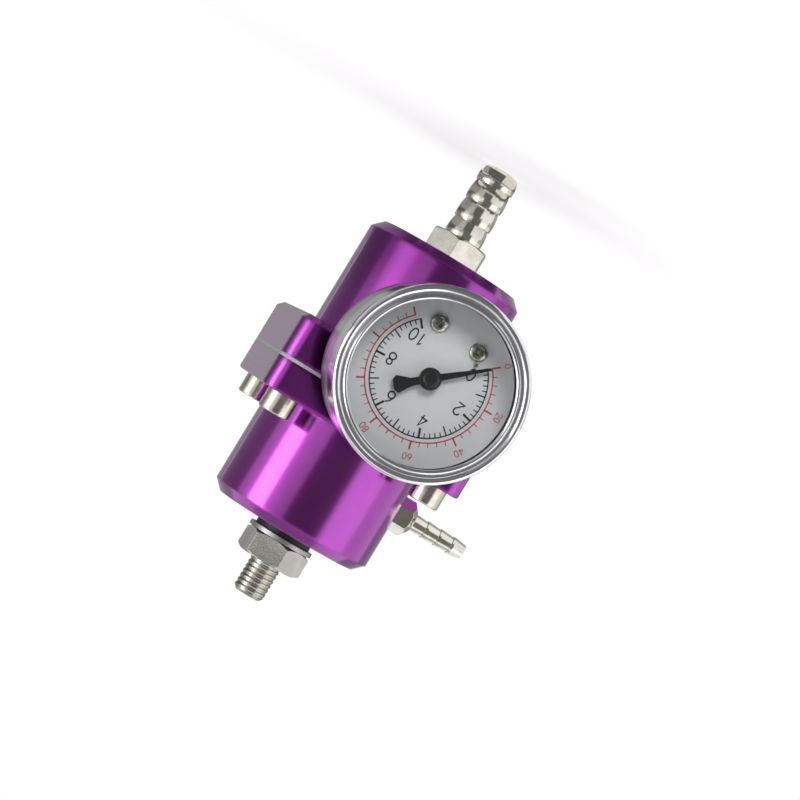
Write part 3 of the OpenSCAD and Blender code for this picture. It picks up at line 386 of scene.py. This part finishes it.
def barb_rings(name, origin, along):
    """A turned skin over a hose barb, from its hexagon's face at origin."""
    along = Vector(along)
    first = along.orthogonal().normalized()
    second = along.cross(first)
    profile = barb_profile()
    verts, faces = [], []
    for r, h in profile:
        for k in range(AROUND):
            a = math.tau * k / AROUND
            verts.append(Vector(origin) + along * h + (first * math.cos(a) + second * math.sin(a)) * r)
    for i in range(len(profile) - 1):
        bridge(faces, i * AROUND, (i + 1) * AROUND)
    skin = piece(name, verts, faces, nickel, "housing", True)
    skin.data.set_sharp_from_angle(angle=math.radians(RING_SHARP_DEG))


low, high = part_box("return_barb")
barb_rings("return_barb_rings", (0, 0, low[2] + BARB_LEN), (0, 0, -1))
low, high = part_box("inlet_barb")
barb_rings("inlet_barb_rings", (0, high[1] - BARB_LEN, (low[2] + high[2]) / 2), (0, 1, 0))


# Printed scales of the dial, in mm and degrees on its own plane

axis = next(j for j in frame["record"]["behaviour"]["joints"] if j["name"] == "pointer_turn")["pos_m"]
plate_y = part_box("dial")[0][1]
face_y = plate_y - 0.03 * MM
GAUGE_TURN = math.radians(-5.5)
ARC_STEP_DEG = 1.5

# Angle of zero, angle of one black unit, and black units in a red one
ZERO = 225.0
PER_UNIT = -27.0
RED_UNIT = 0.0703


def on_dial(x, y):
    """A point of the dial's own plane, in mm from the pointer's axis, in the shared frame."""
    c, s = math.cos(GAUGE_TURN), math.sin(GAUGE_TURN)
    return (axis[0] + (x * c - y * s) * MM, face_y, axis[2] + (x * s + y * c) * MM)


class Print:
    """Flat marks on the dial, gathered into one mesh that faces the viewer."""

    def __init__(self):
        self.verts, self.faces = [], []

    def add(self, points, polygons):
        first = len(self.verts)
        self.verts += [on_dial(*p) for p in points]
        self.faces += [tuple(first + i for i in f) for f in polygons]

    def arc(self, radius, width, start_deg, end_deg):
        count = int(abs(end_deg - start_deg) / ARC_STEP_DEG) + 1
        points = []
        for i in range(count + 1):
            a = math.radians(start_deg + (end_deg - start_deg) * i / count)
            for r in (radius - width / 2, radius + width / 2):
                points.append((r * math.cos(a), r * math.sin(a)))
        self.add(points, [(2 * i, 2 * i + 2, 2 * i + 3, 2 * i + 1) for i in range(count)])

    def tick(self, deg, inner, outer, width):
        a = math.radians(deg)
        c, s = math.cos(a), math.sin(a)
        h = width / 2
        points = [(inner * c + h * s, inner * s - h * c), (outer * c + h * s, outer * s - h * c),
                  (outer * c - h * s, outer * s + h * c), (inner * c - h * s, inner * s + h * c)]
        self.add(points, [(0, 1, 2, 3)])

    def stroke(self, points, width, closed):
        """A line of even width through the points, with mitred corners."""
        edge = []
        last = len(points) - 1
        for i, here in enumerate(points):
            here = Vector(here)
            ways = []
            if i > 0 or closed:
                ways.append((here - Vector(points[i - 1])).normalized())
            if i < last or closed:
                ways.append((Vector(points[(i + 1) % (last + 1)]) - here).normalized())
            way = sum(ways, Vector((0.0, 0.0))).normalized()
            reach = width / 2 / max(0.5, way.dot(ways[0]))
            aside = Vector((-way.y, way.x)) * reach
            edge += [tuple(here + aside), tuple(here - aside)]
        count = last + 1 if closed else last
        size = len(edge)
        self.add(edge, [(2 * i + 1, (2 * i + 3) % size, (2 * i + 2) % size, 2 * i) for i in range(count)])

    def number(self, text, x, y, height, width, turn_deg):
        """Plain numerals drawn with a stroke of one width, centred on x and y."""
        k = height - width
        c, s = math.cos(math.radians(turn_deg)), math.sin(math.radians(turn_deg))
        left = (GLYPH_GAP - len(text) * (GLYPH_W + GLYPH_GAP)) / 2
        for i, char in enumerate(text):
            for path, closed in GLYPHS[char]:
                points = []
                for px, py in path:
                    px, py = (left + i * (GLYPH_W + GLYPH_GAP) + px) * k, (py - 0.5) * k
                    points.append((x + px * c - py * s, y + px * s + py * c))
                self.stroke(points, width, closed)


def bow(x, y, rx, ry, start_deg, end_deg, count=24):
    """Points on an ellipse, without the last one, so that a full turn closes cleanly."""
    turns = [math.radians(start_deg + (end_deg - start_deg) * i / count) for i in range(count)]
    return [(x + rx * math.cos(a), y + ry * math.sin(a)) for a in turns]


# Strokes of the numerals that the dial needs, for a height of one, each with whether it closes
GLYPH_W, GLYPH_GAP = 0.56, 0.24
SIX_STEM = [(0.44, 1.0), (0.27, 0.88), (0.12, 0.68), (0.03, 0.46)]
GLYPHS = {
    "0": [(bow(0.28, 0.5, 0.28, 0.5, 0, 360), True)],
    "1": [([(0.12, 0.74), (0.36, 1.0), (0.36, 0.0)], False)],
    "2": [(bow(0.28, 0.72, 0.28, 0.28, 170, -35) + [(0.5, 0.55), (0.0, 0.0), (0.58, 0.0)], False)],
    "4": [([(0.58, 0.28), (0.0, 0.28), (0.42, 1.0), (0.42, 0.0)], False)],
    "6": [(SIX_STEM + bow(0.28, 0.29, 0.28, 0.29, 180, 540), False)],
    "8": [(bow(0.28, 0.27, 0.28, 0.27, 90, 450), True), (bow(0.28, 0.77, 0.23, 0.23, -90, 270), True)],
}

ARC_W = 0.3

# Black scale: every tenth, fifth and single tick has its own inner radius and width
BLACK_R, BLACK_OUT, BLACK_END, BLACK_STEP = 13.6, 13.75, 10, 0.2
BLACK_TICKS = {10: (11.35, 0.52), 5: (11.35, 0.32), 1: (12.5, 0.26)}
BLACK_NUMBERS = ((0, 221.0), (2, 171.0), (4, 118.5), (6, 62.0), (8, 9.0), (10, -37.5))
BLACK_NUMBER_R, BLACK_NUMBER_H, BLACK_STROKE = 9.75, 3.2, 0.36
black = Print()
black.arc(BLACK_R, ARC_W, ZERO, ZERO + BLACK_END * PER_UNIT)
for i in range(round(BLACK_END / BLACK_STEP) + 1):
    inner, width = next(BLACK_TICKS[every] for every in BLACK_TICKS if i % every == 0)
    black.tick(ZERO + i * BLACK_STEP * PER_UNIT, inner, BLACK_OUT, width)
for value, deg in BLACK_NUMBERS:
    a = math.radians(deg)
    x, y = BLACK_NUMBER_R * math.cos(a), BLACK_NUMBER_R * math.sin(a)
    black.number(str(value), x, y, BLACK_NUMBER_H, BLACK_STROKE, 0.0)

# Red scale: every fifth and single tick has its own outer radius and width
RED_R, RED_IN, RED_END, RED_STEP = 14.67, 14.55, 140, 4
RED_TICKS = {5: (16.65, 0.42), 1: (15.75, 0.22)}
RED_NUMBERS = range(0, 81, 20)
RED_NUMBER_R, RED_NUMBER_H, RED_STROKE = 18.3, 1.7, 0.2
red = Print()
red.arc(RED_R, ARC_W, ZERO, ZERO + RED_END * RED_UNIT * PER_UNIT)
for i in range(RED_END // RED_STEP + 1):
    outer, width = next(RED_TICKS[every] for every in RED_TICKS if i % every == 0)
    red.tick(ZERO + i * RED_STEP * RED_UNIT * PER_UNIT, RED_IN, outer, width)
for value in RED_NUMBERS:
    deg = ZERO + value * RED_UNIT * PER_UNIT
    a = math.radians(deg)
    x, y = RED_NUMBER_R * math.cos(a), RED_NUMBER_R * math.sin(a)
    red.number(str(value), x, y, RED_NUMBER_H, RED_STROKE, deg - 90)

for name, marks, mat in (("dial_scale_black", black, ink_black), ("dial_scale_red", red, ink_red)):
    piece(name, marks.verts, marks.faces, mat, "housing")


# Domed cross-recess heads on the dial's two screws, in mm

HEAD_R, HEAD_H, RIM_SHARE = 2.17, 1.12, 0.4
SLOT_W, SLOT_L, SLOT_D = 0.36, 1.25, 0.8
SLOT_WALL, SLOT_FADE = 0.16, 0.7
SCREW_R = 12.8
HEAD_RINGS = 24
HEAD_SHARP_DEG = 40

# Each screw's angle from the foot of the dial, in degrees, and its cross's turn, in radians
HEADS = ((26, 0.5), (-26, 1.2))


def head_height(x, y):
    """Height over the dial: a dome with a cross that deepens towards its middle."""
    bulge = math.sqrt(max(0.0, 1 - (math.hypot(x, y) / HEAD_R) ** 2))
    dome = HEAD_H * (RIM_SHARE + (1 - RIM_SHARE) * bulge)
    across, length = min(abs(x), abs(y)), max(abs(x), abs(y))
    wall = min(1.0, max(0.0, (SLOT_W - across) / SLOT_WALL))
    fade = min(1.0, max(0.0, (SLOT_L - length) / SLOT_FADE))
    return dome - SLOT_D * wall * fade


verts, faces = [], []
for side_deg, turn in HEADS:
    mid_x = SCREW_R * math.sin(math.radians(side_deg))
    mid_y = -SCREW_R * math.cos(math.radians(side_deg))
    mid = len(verts)
    x, _, z = on_dial(mid_x, mid_y)
    verts.append((x, plate_y - head_height(0.0, 0.0) * MM, z))
    for i in range(1, HEAD_RINGS + 2):
        r = HEAD_R * min(i, HEAD_RINGS) / HEAD_RINGS
        for k in range(AROUND):
            a = math.tau * k / AROUND
            lift = head_height(r * math.cos(a), r * math.sin(a)) if i <= HEAD_RINGS else 0.0
            x, _, z = on_dial(mid_x + r * math.cos(a + turn), mid_y + r * math.sin(a + turn))
            verts.append((x, plate_y - lift * MM, z))
    for k in range(AROUND):
        n = (k + 1) % AROUND
        faces.append((mid, mid + 1 + k, mid + 1 + n))
        for i in range(HEAD_RINGS):
            row = mid + 1 + i * AROUND
            faces.append((row + k, row + AROUND + k, row + AROUND + n, row + n))
heads = piece("dial_screw_heads", verts, faces, dial_screw_steel, "housing", True)
heads.data.set_sharp_from_angle(angle=math.radians(HEAD_SHARP_DEG))
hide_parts("dial_screws")


# Camera at the photograph's angle

AZ, EL, ROLL, DIST = math.radians(10.462), math.radians(0.5), math.radians(211.242), 0.8
MIDDLE = Vector((0, 0, 0.056))
SHIFT_RIGHT, SHIFT_UP = 6.166 * MM, -3.913 * MM
FOCAL_PX, PICTURE_PX, SENSOR = 3304.0, 800.0, 36.0
back = Vector((math.sin(AZ) * math.cos(EL), -math.cos(AZ) * math.cos(EL), math.sin(EL)))
side = Vector((math.cos(AZ), math.sin(AZ), 0.0))
over = back.cross(side)
right = math.cos(ROLL) * side + math.sin(ROLL) * over
up = -math.sin(ROLL) * side + math.cos(ROLL) * over
target = MIDDLE + SHIFT_RIGHT * right + SHIFT_UP * up
lens = bpy.data.cameras.new("camera")
lens.sensor_width = SENSOR
lens.lens = FOCAL_PX * SENSOR / PICTURE_PX
lens.clip_start, lens.clip_end = 0.01, 50.0
camera = bpy.data.objects.new("camera", lens)
scene.collection.objects.link(camera)
place = Matrix((right, up, back)).transposed().to_4x4()
place.translation = target + back * DIST
camera.matrix_world = place
scene.camera = camera


# Lights, in metres

def around(beta, radius, z):
    """A point round the object, beta degrees to the picture's right of the camera's direction."""
    a = AZ - math.radians(beta)
    return Vector((math.sin(a) * radius, -math.cos(a) * radius, z))


def area_light(name, width, height, radiance):
    data = bpy.data.lights.new(name, "AREA")
    data.shape = "RECTANGLE"
    data.size, data.size_y = width, height
    data.energy = radiance * math.pi * width * height
    obj = bpy.data.objects.new(name, data)
    scene.collection.objects.link(obj)
    return obj


def softbox(name, beta, radius, z, width, height, radiance):
    """An upright light that faces the main axis."""
    obj = area_light(name, width, height, radiance)
    obj.location = around(beta, radius, z)
    aim = Vector((0, 0, z)) - obj.location
    obj.rotation_euler = aim.to_track_quat("-Z", "Y").to_euler()
    return obj


# The key shows in reflections only
key = softbox("key", beta=-55, radius=1.0, z=0.76, width=0.46, height=1.42, radiance=4.0)
key.visible_diffuse = False
softbox("fill", beta=65, radius=1.0, z=0.70, width=0.76, height=1.42, radiance=0.65)

# A small light from below gives the dial its shading and shows in no reflection
low_box = softbox("low", beta=2, radius=0.5, z=-0.32, width=0.25, height=0.25, radiance=10.5)
low_box.visible_camera = False
low_box.visible_glossy = False
low_box.visible_transmission = False
top_box = area_light("top", width=0.9, height=0.9, radiance=1.0)
top_box.location = (0.0, 0.1, 1.3)


# Studio cards that show in reflections only

CARD_R, CARD_TOP, CARD_STEP_DEG = 1.25, 1.1, 4
FLOOR_CARD_R = 0.7
ground_z = min(cad_low[2], 0) - 0.0003
on_floor_z = ground_z + 0.0001


def lit(name, strength):
    mat = bpy.data.materials.new(name)
    mat.use_nodes = True
    tree = mat.node_tree
    tree.nodes.clear()
    out = tree.nodes.new("ShaderNodeOutputMaterial")
    glow = tree.nodes.new("ShaderNodeEmission")
    glow.inputs["Color"].default_value = (1.0, 1.0, 1.0, 1.0)
    glow.inputs["Strength"].default_value = strength
    tree.links.new(glow.outputs[0], out.inputs["Surface"])
    return mat


def card(name, points, quads, strength):
    mesh = bpy.data.meshes.new(name)
    mesh.from_pydata(points, [], quads)
    mesh.materials.append(lit(name, strength))
    obj = bpy.data.objects.new(name, mesh)
    scene.collection.objects.link(obj)
    obj.visible_camera = False
    obj.visible_diffuse = False
    obj.visible_shadow = False


def bent_card(name, beta_low, beta_high, edges, strength):
    """A card bent round the main axis between two edges, each a radius and a height."""
    count = max(2, int((beta_high - beta_low) / CARD_STEP_DEG))
    points = []
    for i in range(count + 1):
        beta = beta_low + (beta_high - beta_low) * i / count
        points += [around(beta, radius, z) for radius, z in edges]
    quads = [(2 * i, 2 * i + 1, 2 * i + 3, 2 * i + 2) for i in range(count)]
    card(name, points, quads, strength)


def flag(name, beta_low, beta_high, z_low, z_high, strength):
    """An upright card."""
    bent_card(name, beta_low, beta_high, ((CARD_R, z_low), (CARD_R, z_high)), strength)


def floor_flag(name, beta_low, beta_high, near, far, strength):
    """A card that lies on the floor, from near to far metres off the axis."""
    bent_card(name, beta_low, beta_high, ((near, on_floor_z), (far, on_floor_z)), strength)


# Upright cards with their parts on the floor: label, first and last degree, strengths of the two parts
UPRIGHT = (
    ("front", -12, 40, 0.17, 0.17),
    ("side", -138, -88, 0.3, 0.14),
    ("left", -180, -142, 0.4, 0.4),
    ("right", 128, 168, 0.35, 0.35),
)
for label, beta_low, beta_high, strength, floor_strength in UPRIGHT:
    flag("flag_" + label, beta_low, beta_high, ground_z, CARD_TOP, strength)
    floor_flag("floor_flag_" + label, beta_low, beta_high, FLOOR_CARD_R, CARD_R, floor_strength)

# Cards on the floor: label, nearest and farthest radius, then sectors with first and last degree and strength
LYING = (
    ("tip", 0.005, 0.016, ((-60, 20, 0.15), (-110, -60, 0.4), (110, 180, 0.45))),
    ("foot", 0.016, 0.0225, ((-35, 35, 0.12),)),
    ("foot_side", 0.018, 0.0255, ((-60, -35, 0.12), (35, 60, 0.12))),
    ("foot_far", 0.021, 0.031, ((-110, -60, 0.12), (60, 110, 0.12))),
    ("foot_back", 0.016, 0.035, ((110, 250, 0.12),)),
    ("near", 0.0255, 0.12, ((-24, 24, 0.14), (110, 180, 0.45), (-60, -24, 0.5), (-180, -60, 0.35))),
    ("wide", FLOOR_CARD_R, CARD_R, ((-88, -72, 0.3), (-72, -60, 0.55))),
    ("mid", 0.12, FLOOR_CARD_R, ((-88, -72, 0.12), (-72, -40, 0.7), (-40, -12, 0.4), (-12, 40, 0.17),
                                 (90, 128, 0.5), (128, 218, 0.35), (-142, -88, 0.12))),
)
for label, near, far, sectors in LYING:
    for i, (beta_low, beta_high, strength) in enumerate(sectors):
        floor_flag("floor_flag_%s_%d" % (label, i), beta_low, beta_high, near, far, strength)

# Cards for the lock nut's middle and left faces
flag("flag_nut", -26, -12, 0.155, 0.45, 0.27)
flag("flag_nut_side", -142, -138, 0.15, 0.45, 0.45)


def square(half, z):
    return [(-half, -half, z), (half, -half, z), (half, half, z), (-half, half, z)]


card("flag_over", square(0.45, 1.2), [(0, 1, 2, 3)], 0.45)


# Floor and background

def seen_rays(tree):
    """One on rays from the camera, off glossy surfaces and through glass, nought on all others."""
    path = tree.nodes.new("ShaderNodeLightPath")
    total = path.outputs["Is Camera Ray"]
    for kind in ("Is Glossy Ray", "Is Transmission Ray"):
        node = tree.nodes.new("ShaderNodeMath")
        node.operation = "ADD"
        node.use_clamp = True
        tree.links.new(total, node.inputs[0])
        tree.links.new(path.outputs[kind], node.inputs[1])
        total = node.outputs[0]
    return total


# The floor's own glow grows from the first radius to the second, and leaves the shadow to be seen
FLOOR_HALF = 8.0
GLOW_NEAR, GLOW_FAR = (0.1, 0.65), (1.6, 0.77)
ground = bpy.data.meshes.new("floor")
ground.from_pydata(square(FLOOR_HALF, ground_z), [], [(0, 1, 2, 3)])
floor = bpy.data.objects.new("floor", ground)
scene.collection.objects.link(floor)
floor.visible_shadow = False
floor_mat, tree, shader = start("floor_white")
shader.inputs["Roughness"].default_value = 0.9
shader.inputs["Specular IOR Level"].default_value = 0.0
pale = [(NOISE_LOW, (0.80, 0.80, 0.80)), (NOISE_HIGH, (0.82, 0.82, 0.82))]
tree.links.new(ramp(tree, noise(tree, (6, 6, 6), 2.0), pale), shader.inputs["Base Color"])
spread = tree.nodes.new("ShaderNodeVectorMath")
spread.operation = "LENGTH"
tree.links.new(coords(tree, (1, 1, 0)), spread.inputs[0])
glow = tree.nodes.new("ShaderNodeMapRange")
glow.interpolation_type = "SMOOTHSTEP"
glow.inputs["From Min"].default_value, glow.inputs["To Min"].default_value = GLOW_NEAR
glow.inputs["From Max"].default_value, glow.inputs["To Max"].default_value = GLOW_FAR
tree.links.new(spread.outputs["Value"], glow.inputs["Value"])
level = tree.nodes.new("ShaderNodeMath")
level.operation = "MULTIPLY"
tree.links.new(seen_rays(tree), level.inputs[0])
tree.links.new(glow.outputs["Result"], level.inputs[1])
shader.inputs["Emission Color"].default_value = (1.0, 1.0, 1.0, 1.0)
tree.links.new(level.outputs[0], shader.inputs["Emission Strength"])
ground.materials.append(floor_mat)

# White where it is seen, and a soft light elsewhere
SOFT_LEVEL, WHITE_LEVEL = 0.3, 1.0
world = bpy.data.worlds.new("studio")
scene.world = world
world.use_nodes = True
tree = world.node_tree
tree.nodes.clear()
out = tree.nodes.new("ShaderNodeOutputWorld")
mix = tree.nodes.new("ShaderNodeMixShader")
tree.links.new(seen_rays(tree), mix.inputs["Fac"])
for slot, strength in ((1, SOFT_LEVEL), (2, WHITE_LEVEL)):
    node = tree.nodes.new("ShaderNodeBackground")
    node.inputs["Color"].default_value = (1.0, 1.0, 1.0, 1.0)
    node.inputs["Strength"].default_value = strength
    tree.links.new(node.outputs[0], mix.inputs[slot])
tree.links.new(mix.outputs[0], out.inputs["Surface"])
